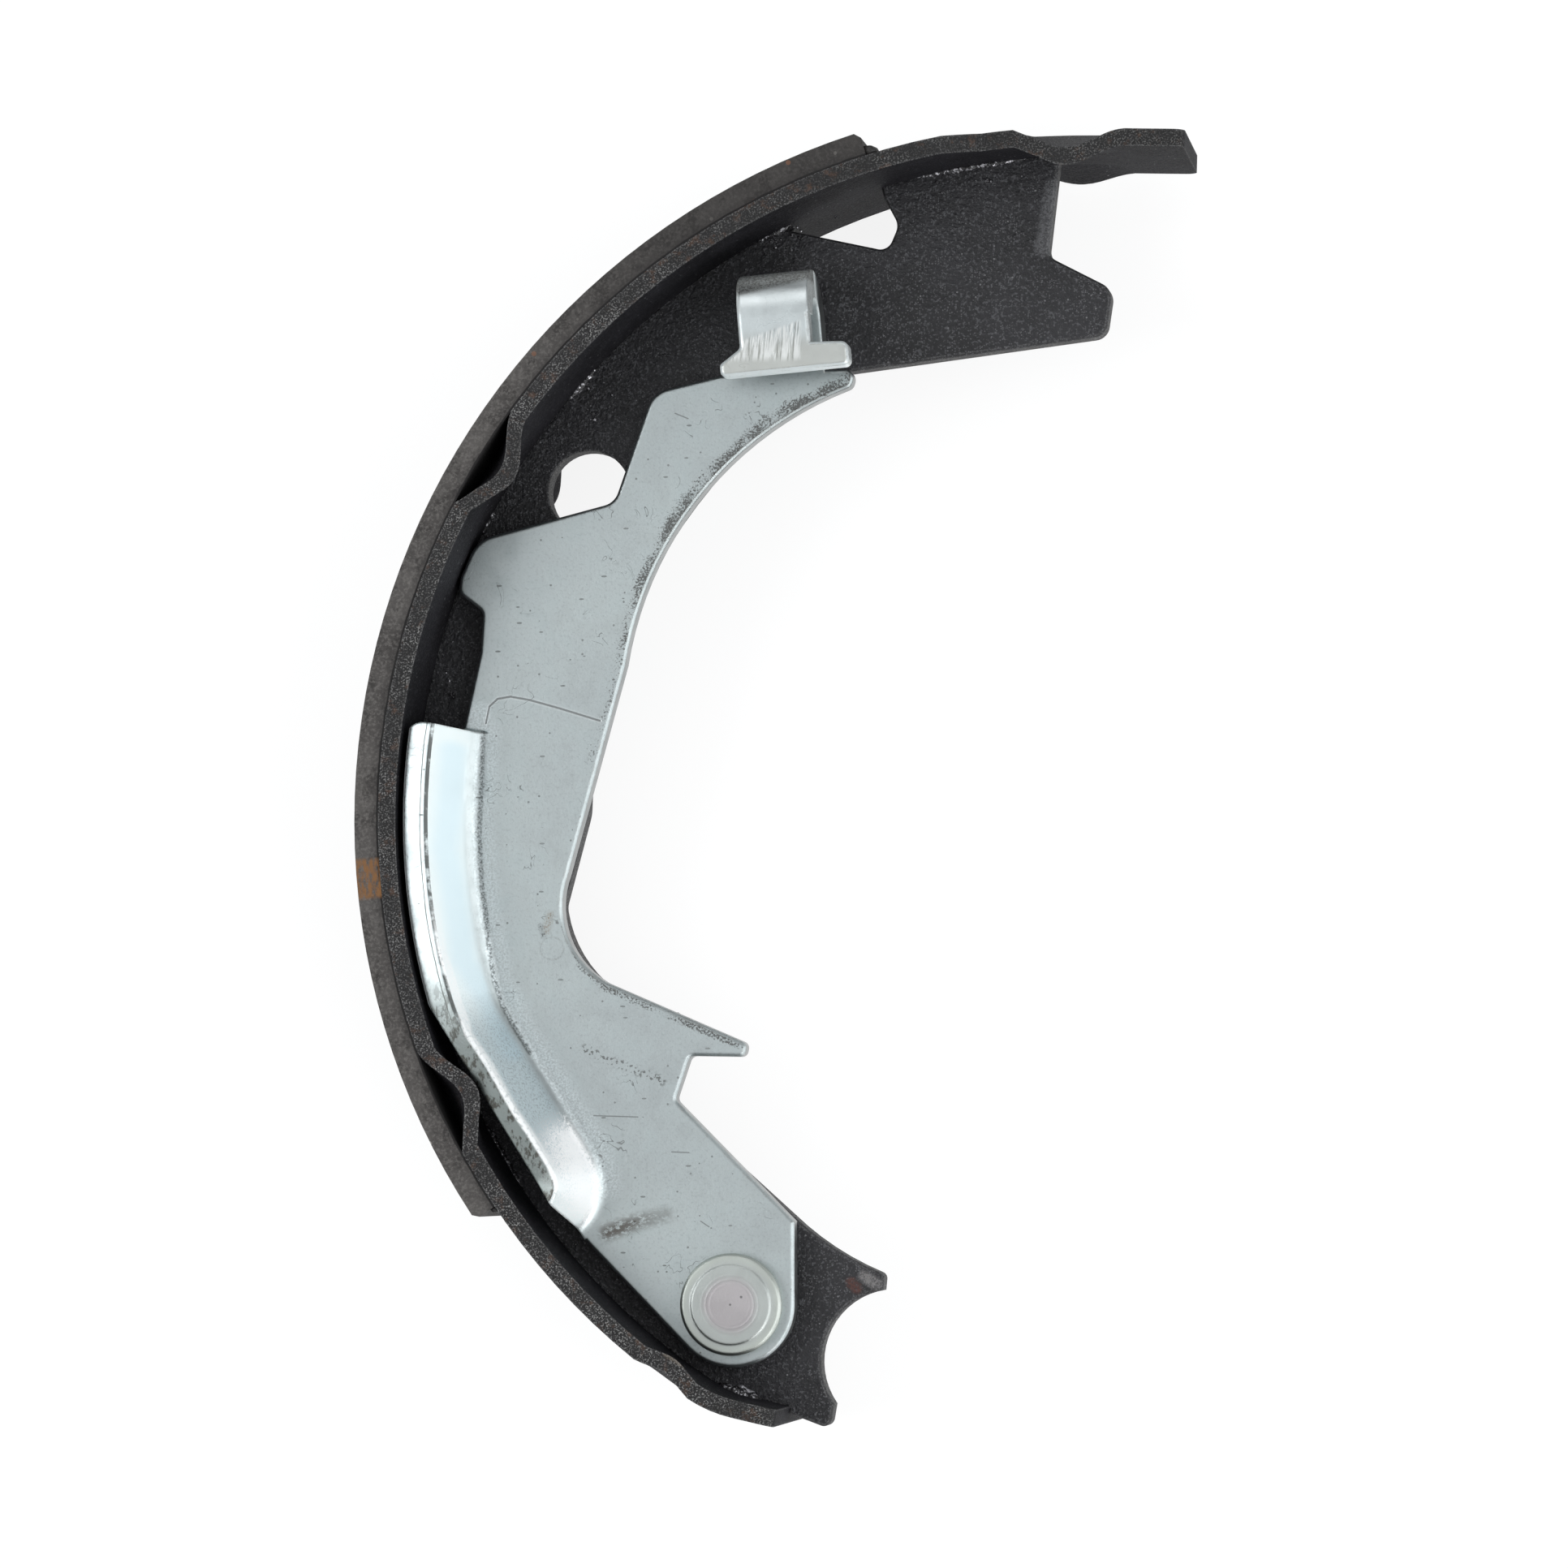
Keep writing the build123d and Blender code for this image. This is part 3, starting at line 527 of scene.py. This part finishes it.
    def worn_edges(self, colour):
        """Patches of wear on all edges, and the dark rounded edge beside the worn skin."""
        patches = self.span(self.noise(self.point, 600.0, 4.0, 0.7), 0.5, 0.62)
        colour = self.coat(colour, (0.24, 0.21, 0.18), self.span(self.bend, 0.998, 0.93), patches, 0.45)
        turned = self.times(self.span(self.bend, 0.9996, 0.98), self.worn_edge)
        return self.coat(colour, (0.1, 0.098, 0.094), turned, self.span(self.fine, 0.3, 0.55, 0.5, 1.0), 0.92)

    def rim(self, colour):
        """The flange's rim: thin dark lines of painted shade, painted grey shade at its top and outside, dull
        and streaked below, and a painted white highlight along its lower part.
        """
        on_rim = self.times(self.span(self.z, 0.0163, 0.0166), self.span(self.level, 0.7, 0.8))
        on_rim = self.times(on_rim, self.span(self.y, 0.03, 0.029))
        reach = self.length(self.x, self.y)
        reach = self.math("MULTIPLY_ADD", self.noise(self.point, 160.0, 2.0), 0.0003, reach)
        # Painted shade: thin dark lines at the rim's inner corner
        inner_line = self.close(self.gap(reach, RIM_LINE), 0.00004, 0.00012)
        corner_line = self.times(self.span(self.level, 0.96, 0.92), self.span(self.mottle, 0.38, 0.5))
        line = self.math("MAXIMUM", inner_line, corner_line)
        upper = self.span(self.y, -0.034, -0.026)
        colour = self.coat(colour, (0.05, 0.05, 0.047), on_rim, line, upper, 0.85)

        # Painted shade on the rim's outside and at its top
        outside = self.times(on_rim, self.span(reach, RIM_LINE + 0.0018, RIM_LINE + 0.0024))
        outside = self.times(outside, self.span(self.grit, 0.35, 0.6, 0.4, 1.0), 0.7)
        top = self.times(on_rim, self.span(self.y, 0.0128, 0.0143), self.span(self.fine, 0.35, 0.6, 0.5, 1.0))
        colour = self.coat(colour, (0.085, 0.092, 0.092), self.math("MAXIMUM", outside, top), 0.85)

        below = self.times(on_rim, self.span(self.y, -0.018, -0.034), self.span(self.level, 0.9, 0.95))
        streaks = self.noise(self.scaled(self.point, (900.0, 520.0, 300.0)), 1.0, 4.0, 0.65)
        colour = self.coat(colour, (0.16, 0.18, 0.172), below, 0.88)
        colour = self.coat(colour, (0.06, 0.056, 0.048), below, self.span(streaks, 0.5, 0.6), 0.85)

        # Painted highlight: a white line along the rim's lower part
        painted_rim_highlight = self.times(self.beside(RIM_LOW, 0.00025, 0.0007), self.span(self.z, 0.0155, 0.0162))
        broken = self.span(self.grit, 0.36, 0.5, 0.5, 1.0)
        self.painted_rim_highlight = self.times(painted_rim_highlight, broken, self.span(self.y, -0.01, -0.022))
        return self.coat(colour, (0.96, 0.98, 0.98), self.painted_rim_highlight)


def zinc_material():
    """The lever's skin, from the plain plating to the last mark over it."""
    net = Zinc("bright_zinc")
    colour = net.plain()
    for add in (
        net.flange,
        net.fold,
        net.worn_skin,
        net.spoon_highlight,
        net.small_marks,
        net.die_and_scratches,
        net.stains,
        net.hook,
        net.worn_edges,
        net.rim,
    ):
        colour = add(colour)

    # Where light is painted, the zinc is made less metallic so that the pale colour shows
    painted_light_share = net.math("MAXIMUM", net.painted_rim_highlight, net.math("MULTIPLY", net.painted_spoon_highlight, 1.3))
    painted_light_share = net.math("MAXIMUM", net.painted_sheen, painted_light_share)
    net.set(Base_Color=colour, Metallic=net.math("MULTIPLY_ADD", painted_light_share, -0.7, 1.0))
    rough = net.span(net.mottle, 0.3, 0.7, 0.33, 0.44)
    net.set(Roughness=net.math("MULTIPLY_ADD", net.marks, 0.3, rough))
    height = net.math("MULTIPLY_ADD", net.fine, 0.5, net.math("MULTIPLY", net.mottle, 1.2))
    sunk = net.math("MULTIPLY", net.math("MAXIMUM", net.marks, net.die), 1.2)
    height = net.math("SUBTRACT", height, sunk)
    height = net.math("MULTIPLY_ADD", net.times(net.beside_bend, net.grit), 1.5, height)
    net.set(Normal=net.bump(height, 0.00005, 0.6, net.edge_normal))
    return net.material


def pin_material():
    """The pin's plated head: pinkish grey in the middle, with turned rings."""
    net = Net("turned_pin")
    point = net.where()
    x, y, _ = net.parts(point)
    dx = net.math("SUBTRACT", x, PIVOT[0])
    dy = net.math("SUBTRACT", y, PIVOT[1])
    radius = net.length(dx, dy)
    wide = net.noise(point, 300.0, 3.0)
    middle = net.close(net.math("MULTIPLY_ADD", wide, 0.0012, radius), 0.0036, 0.0052)
    colour = net.mix(middle, (0.5, 0.53, 0.515), (0.5, 0.475, 0.485))
    colour = net.coat(colour, (0.56, 0.6, 0.55), net.span(radius, 0.0056, 0.0068), 0.6)
    rings = net.math("SINE", net.math("MULTIPLY", radius, 9500.0))
    grooves = net.math("MULTIPLY", rings, net.close(net.gap(radius, 0.0036), 0.0003, 0.0011))
    colour = net.coat(colour, (0.3, 0.3, 0.3), net.span(grooves, 0.6, 1.0, 0.0, 0.35))
    centre = net.close(radius, 0.0001, 0.00022)
    pits = net.specks(point, 700.0, 0.15, 0.07)
    colour = net.coat(colour, (0.1, 0.1, 0.1), net.math("MAXIMUM", centre, pits), 0.7)
    net.set(Base_Color=colour, Metallic=1.0, Roughness=net.span(wide, 0.3, 0.7, 0.36, 0.46))
    fine = net.noise(point, 3000.0, 2.0)
    height = net.math("MULTIPLY_ADD", grooves, 0.5, fine)
    net.set(Normal=net.bump(height, 0.00003, 0.6, net.bevel(0.0004)))
    return net.material


def spring_material():
    """Plated spring steel, with drawn lines and a darker cast."""
    net = Net("spring_steel")
    point = net.where()
    drawn = net.noise(net.scaled(point, (300.0, 2800.0, 900.0)), 1.0, 3.0, 0.6)
    colour = net.mix(net.span(drawn, 0.35, 0.7), (0.36, 0.375, 0.38), (0.5, 0.515, 0.515))
    net.set(Base_Color=colour, Metallic=1.0, Roughness=net.span(drawn, 0.3, 0.7, 0.28, 0.42))
    net.set(Normal=net.bump(drawn, 0.00003, 0.5, net.bevel(0.00015)))
    return net.material


def weld_material(name, low, high):
    """Weld metal, glossier and more broken than the plates beside it, bare where the noise is high."""
    net = Net(name)
    point = net.where()
    lumps = net.noise(point, 1500.0, 3.0, 0.6)
    bare = net.span(net.noise(point, 2200.0, 2.0), low, high)
    colour = net.mix(bare, (0.02, 0.019, 0.021), (0.5, 0.49, 0.52))
    net.set(Base_Color=colour, Metallic=net.math("MULTIPLY", bare, 0.7), Roughness=0.24)
    net.set(Normal=net.bump(lumps, 0.0003, 0.9))
    return net.material


def glue_material():
    """Cured black adhesive, squeezed out at the lining's ends."""
    net = Net("cured_adhesive")
    point = net.where()
    lumps = net.noise(point, 900.0, 4.0, 0.6)
    colour = net.mix(net.span(lumps, 0.4, 0.7), (0.011, 0.01, 0.01), (0.035, 0.031, 0.029))
    net.set(Base_Color=colour, Roughness=net.span(lumps, 0.3, 0.7, 0.4, 0.65))
    net.set(Normal=net.bump(lumps, 0.0002, 0.8))
    return net.material


def dress(node, material):
    """Gives a CAD node its material in every slot."""
    for slot in nodes[node].material_slots:
        slot.material = material


# Spots on the black paint, and on the web one painted highlight: a stroke's two ends, its width and its
# colour
WEB_SPOTS_AND_HIGHLIGHT = [
    ((-0.0321, -0.0661), (-0.0313, -0.0669), 0.0011, (0.085, 0.028, 0.02)),
    ((-0.0302, -0.0652), (-0.0285, -0.0663), 0.0012, (0.2, 0.19, 0.19)),
    # A painted highlight: a lighter stroke along the web's right edge
    ((-0.0027, 0.0912), (-0.0042, 0.0825), 0.0017, (0.1, 0.1, 0.106)),
]
TABLE_SPOTS = [((-0.0561, -0.0757), (-0.0537, -0.0772), 0.0011, (0.2, 0.165, 0.13))]

weld_paint = weld_material("painted_weld", 0.54, 0.62)
bare_weld = weld_material("bare_weld", 0.15, 0.3)
glue = glue_material()
spring_steel = spring_material()
dress("lining", lining_material())
dress("table", paint_material("black_paint_table", True, 0.08, 0.5, TABLE_SPOTS))
dress("web", paint_material("black_paint_web", False, 0.4, 0.12, WEB_SPOTS_AND_HIGHLIGHT))
dress("parking_lever", zinc_material())
dress("pivot_pin", pin_material())
dress("spring_washer", spring_steel)
dress("retaining_clip", spring_steel)


# Pieces that the photograph shows beyond the CAD solids

rng = random.Random(7)


def placed(name, bm, material):
    """An object with the mesh that was built, in the scene."""
    mesh = bpy.data.meshes.new(name)
    bm.to_mesh(mesh)
    bm.free()
    mesh.materials.append(material)
    thing = bpy.data.objects.new(name, mesh)
    scene.collection.objects.link(thing)
    return thing


def finish_piece(name, bm, material):
    """A smooth piece that rides on the shoe."""
    piece = placed(name, bm, material)
    for polygon in piece.data.polygons:
        polygon.use_smooth = True
    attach(piece, "shoe")


def polar(degrees, radius, height):
    """A point at an angle about the drum's axis, anticlockwise from +X."""
    turn = math.radians(degrees)
    return Vector((radius * math.cos(turn), radius * math.sin(turn), height))


def skin(bm, rings):
    """Faces between neighbouring rings of points, and a cap at both ends."""
    rows = [[bm.verts.new(p) for p in ring] for ring in rings]
    for low, high in zip(rows, rows[1:]):
        count = len(low)
        for i in range(count):
            j = (i + 1) % count
            bm.faces.new((low[i], low[j], high[j], high[i]))
    bm.faces.new(rows[0][::-1])
    bm.faces.new(rows[-1])
    bmesh.ops.recalc_face_normals(bm, faces=bm.faces)


def weld_bead(name, start, end, size, side, radius=TABLE_INNER, material=weld_paint):
    """A lumpy fillet weld in the corner between the web and the table."""
    bm = bmesh.new()
    steps = max(10, int((end - start) * 5))
    size_here = size
    rings = []
    for step in range(steps + 1):
        share = step / steps
        angle = start + (end - start) * share
        size_here += (size * rng.uniform(0.6, 1.45) - size_here) * 0.45
        reach = size_here * max(0.06, math.sin(math.pi * share)) ** 0.4
        wall = polar(angle, radius + SINK, side * (WEB_FACE - SINK))
        inward = (polar(angle, 1.0, 0.0) * -1.0).normalized()
        ring = [wall]
        for turn in range(6):
            lean = math.radians(90 * turn / 5)
            bulge = reach * (1.0 + 0.18 * math.sin(2 * lean)) * rng.uniform(0.93, 1.07)
            up = Vector((0, 0, side * math.cos(lean) * bulge))
            ring.append(wall + inward * (math.sin(lean) * bulge) + up)
        rings.append(ring)
    skin(bm, rings)
    finish_piece(name, bm, material)


# The web's side that carries the lever, and the other one
FRONT = 1
BACK = -1

# Each weld's first and last angle in degrees, and the size of its front bead
WELDS = [
    (94.0, 103.6, 0.0007),
    (115.3, 118.6, 0.0008),
    (136.4, 140.2, 0.0007),
    (151.6, 154.0, 0.0007),
    (176, 182, 0.0007),
    (207, 213, 0.0007),
    (237.6, 243.6, 0.0015),
]
BACK_BEAD = 0.0008
for number, (start, end, size) in enumerate(WELDS):
    weld_bead(f"weld_front_{number}", start, end, size, FRONT)
    weld_bead(f"weld_back_{number}", start, end, BACK_BEAD, BACK)
weld_bead("weld_bare_0", 239.0, 241.0, 0.0006, FRONT, TABLE_INNER - 0.0013, bare_weld)
weld_bead("weld_bare_1", 242.1, 243.1, 0.0006, FRONT, TABLE_INNER - 0.0011, bare_weld)


def spatter(name, spots, side):
    """Droplets of weld metal, flattened against the web, all in one mesh."""
    bm = bmesh.new()
    for angle, radius, size in spots:
        drop = bmesh.ops.create_icosphere(bm, subdivisions=2, radius=size)["verts"]
        seat = polar(angle, radius, side * (WEB_FACE + size * 0.15))
        for vert in drop:
            dent = 1.0 + rng.uniform(-0.14, 0.14)
            vert.co = Vector((vert.co.x * dent, vert.co.y * dent, vert.co.z * 0.55 * dent)) + seat
    finish_piece(name, bm, weld_paint)


DROP_SIZES = (0.00013, 0.0003)


def scattered(count, angles, radii):
    """Places and sizes of drops, at random between two angles and two radii."""
    return [
        (rng.uniform(*angles), rng.uniform(*radii), rng.uniform(*DROP_SIZES))
        for _ in range(count)
    ]


FRONT_SPATTER = [
    (14, (114.5, 118.5), (0.0930, 0.0952)),
    (9, (136.6, 140.4), (0.0905, 0.0948)),
    (7, (153.0, 156.0), (0.0915, 0.0948)),
    (8, (163.0, 169.0), (0.0915, 0.0940)),
    (7, (97.0, 104.0), (0.0925, 0.0945)),
]
front_spots = [spot_and_highlight for row in FRONT_SPATTER for spot_and_highlight in scattered(*row)]
spatter("spatter_front", front_spots, FRONT)
spatter("spatter_back", scattered(20, (100.0, 240.0), (0.0920, 0.0948)), BACK)


def glue_ledge(name, angle, away, height, length):
    """A ragged ledge of adhesive on the table, across the lining's end."""
    bm = bmesh.new()
    rings = []
    steps = 46
    margin = 0.0003
    root = angle - away * 0.1
    for step in range(steps + 1):
        across = -HALF_WIDTH + margin + 2 * (HALF_WIDTH - margin) * step / steps
        long = length * rng.uniform(0.6, 1.25)
        tall = height * rng.uniform(0.75, 1.0)
        foot = math.degrees(long / TABLE_OUTER) * away
        ring = [
            polar(root, TABLE_OUTER - SINK, across),
            polar(root, TABLE_OUTER + tall, across),
            polar(angle + foot * 0.55, TABLE_OUTER + tall * 0.85, across),
            polar(angle + foot * 0.9, TABLE_OUTER + tall * 0.45, across),
            polar(angle + foot, TABLE_OUTER - SINK, across),
        ]
        rings.append(ring)
    skin(bm, rings)
    finish_piece(name, bm, glue)


glue_ledge("glue_ledge_top", 106.6, -1, 0.0016, 0.0018)
glue_ledge("glue_ledge_low", 214.2, 1, 0.0009, 0.0009)


# Floor, world, lamps and camera


def floor_material():
    """White to the camera and in reflections, with the shadows kept, and plain pale to the lamps."""
    net = Net("pale_floor")
    seen = net.new("ShaderNodeLightPath")
    either = net.math("MAXIMUM", seen.outputs["Is Camera Ray"], seen.outputs["Is Glossy Ray"])
    pale = net.mix(either, (0.82, 0.82, 0.82), (0.19, 0.19, 0.19))
    net.set(Base_Color=pale, Roughness=0.9, Specular_IOR_Level=0.0)
    glow = net.new("ShaderNodeEmission", {"Color": (1.0, 1.0, 1.0)})
    net.put(glow.inputs["Strength"], net.math("MULTIPLY", either, 0.85))
    added = net.new("ShaderNodeAddShader", {0: net.shader.outputs[0], 1: glow.outputs[0]})
    net.tree.links.new(added.outputs[0], net.out.inputs["Surface"])
    return net.material


floor_mesh = bmesh.new()
bmesh.ops.create_grid(floor_mesh, x_segments=8, y_segments=8, size=2.5)
floor = placed("floor", floor_mesh, floor_material())
floor.location = (0, 0, -HALF_WIDTH)

LIGHT_FROM_SKY = 0.36
SKY_IN_VIEW = 1.0

world = bpy.data.worlds.new("studio")
scene.world = world
world.use_nodes = True
sky = world.node_tree
sky.nodes.clear()
sky_out = sky.nodes.new("ShaderNodeOutputWorld")
sky_light = sky.nodes.new("ShaderNodeBackground")
sky_light.inputs["Color"].default_value = (0.95, 0.98, 1.0, 1.0)
sky_path = sky.nodes.new("ShaderNodeLightPath")
sky_level = sky.nodes.new("ShaderNodeMapRange")
sky_level.inputs["To Min"].default_value = LIGHT_FROM_SKY
sky_level.inputs["To Max"].default_value = SKY_IN_VIEW
sky.links.new(sky_path.outputs["Is Camera Ray"], sky_level.inputs["Value"])
sky.links.new(sky_level.outputs[0], sky_light.inputs["Strength"])
sky.links.new(sky_light.outputs[0], sky_out.inputs["Surface"])


MIDDLE_OF_SHOE = Vector((-0.04, 0.0, 0.0))
NEUTRAL = (1.0, 1.0, 1.0)
COOL = (0.97, 0.99, 1.0)


def softbox(name, place, size, power, tint):
    """A rectangular area lamp that faces the middle of the shoe."""
    lamp = bpy.data.lights.new(name, "AREA")
    lamp.shape = "RECTANGLE"
    lamp.size, lamp.size_y = size
    lamp.energy = power
    lamp.color = tint
    thing = bpy.data.objects.new(name, lamp)
    thing.location = place
    aim = MIDDLE_OF_SHOE - Vector(place)
    thing.rotation_mode = "QUATERNION"
    thing.rotation_quaternion = aim.to_track_quat("-Z", "Y")
    scene.collection.objects.link(thing)


softbox("softbox_left", (-1.15, 0.05, 0.95), (0.7, 1.2), 11.0, COOL)
softbox("softbox_right", (1.2, -0.1, 0.85), (1.2, 1.9), 12.0, COOL)
softbox("softbox_above", (-0.05, -0.1, 1.9), (2.0, 2.0), 4.0, NEUTRAL)
softbox("softbox_top", (-0.05, 1.2, 0.95), (1.4, 0.7), 4.0, NEUTRAL)
softbox("softbox_low", (0.85, -1.0, 0.7), (0.7, 0.7), 6.5, NEUTRAL)

camera_data = bpy.data.cameras.new("camera")
camera_data.sensor_width = 36.0
camera_data.lens = 168.0
camera_data.clip_start = 0.05
camera_data.clip_end = 20.0
camera = bpy.data.objects.new("camera", camera_data)
scene.collection.objects.link(camera)
scene.camera = camera
eye = Vector((0.087, -0.0484, 1.046))
target = Vector((-0.0421, 0.0056, 0.0))
forward = (target - eye).normalized()
right = forward.cross(Vector((0.0, 1.0, 0.0))).normalized()
up = right.cross(forward)
turned = Matrix((right, up, -forward)).transposed().to_4x4()
camera.matrix_world = Matrix.Translation(eye) @ turned

scene.view_settings.view_transform = "Standard"
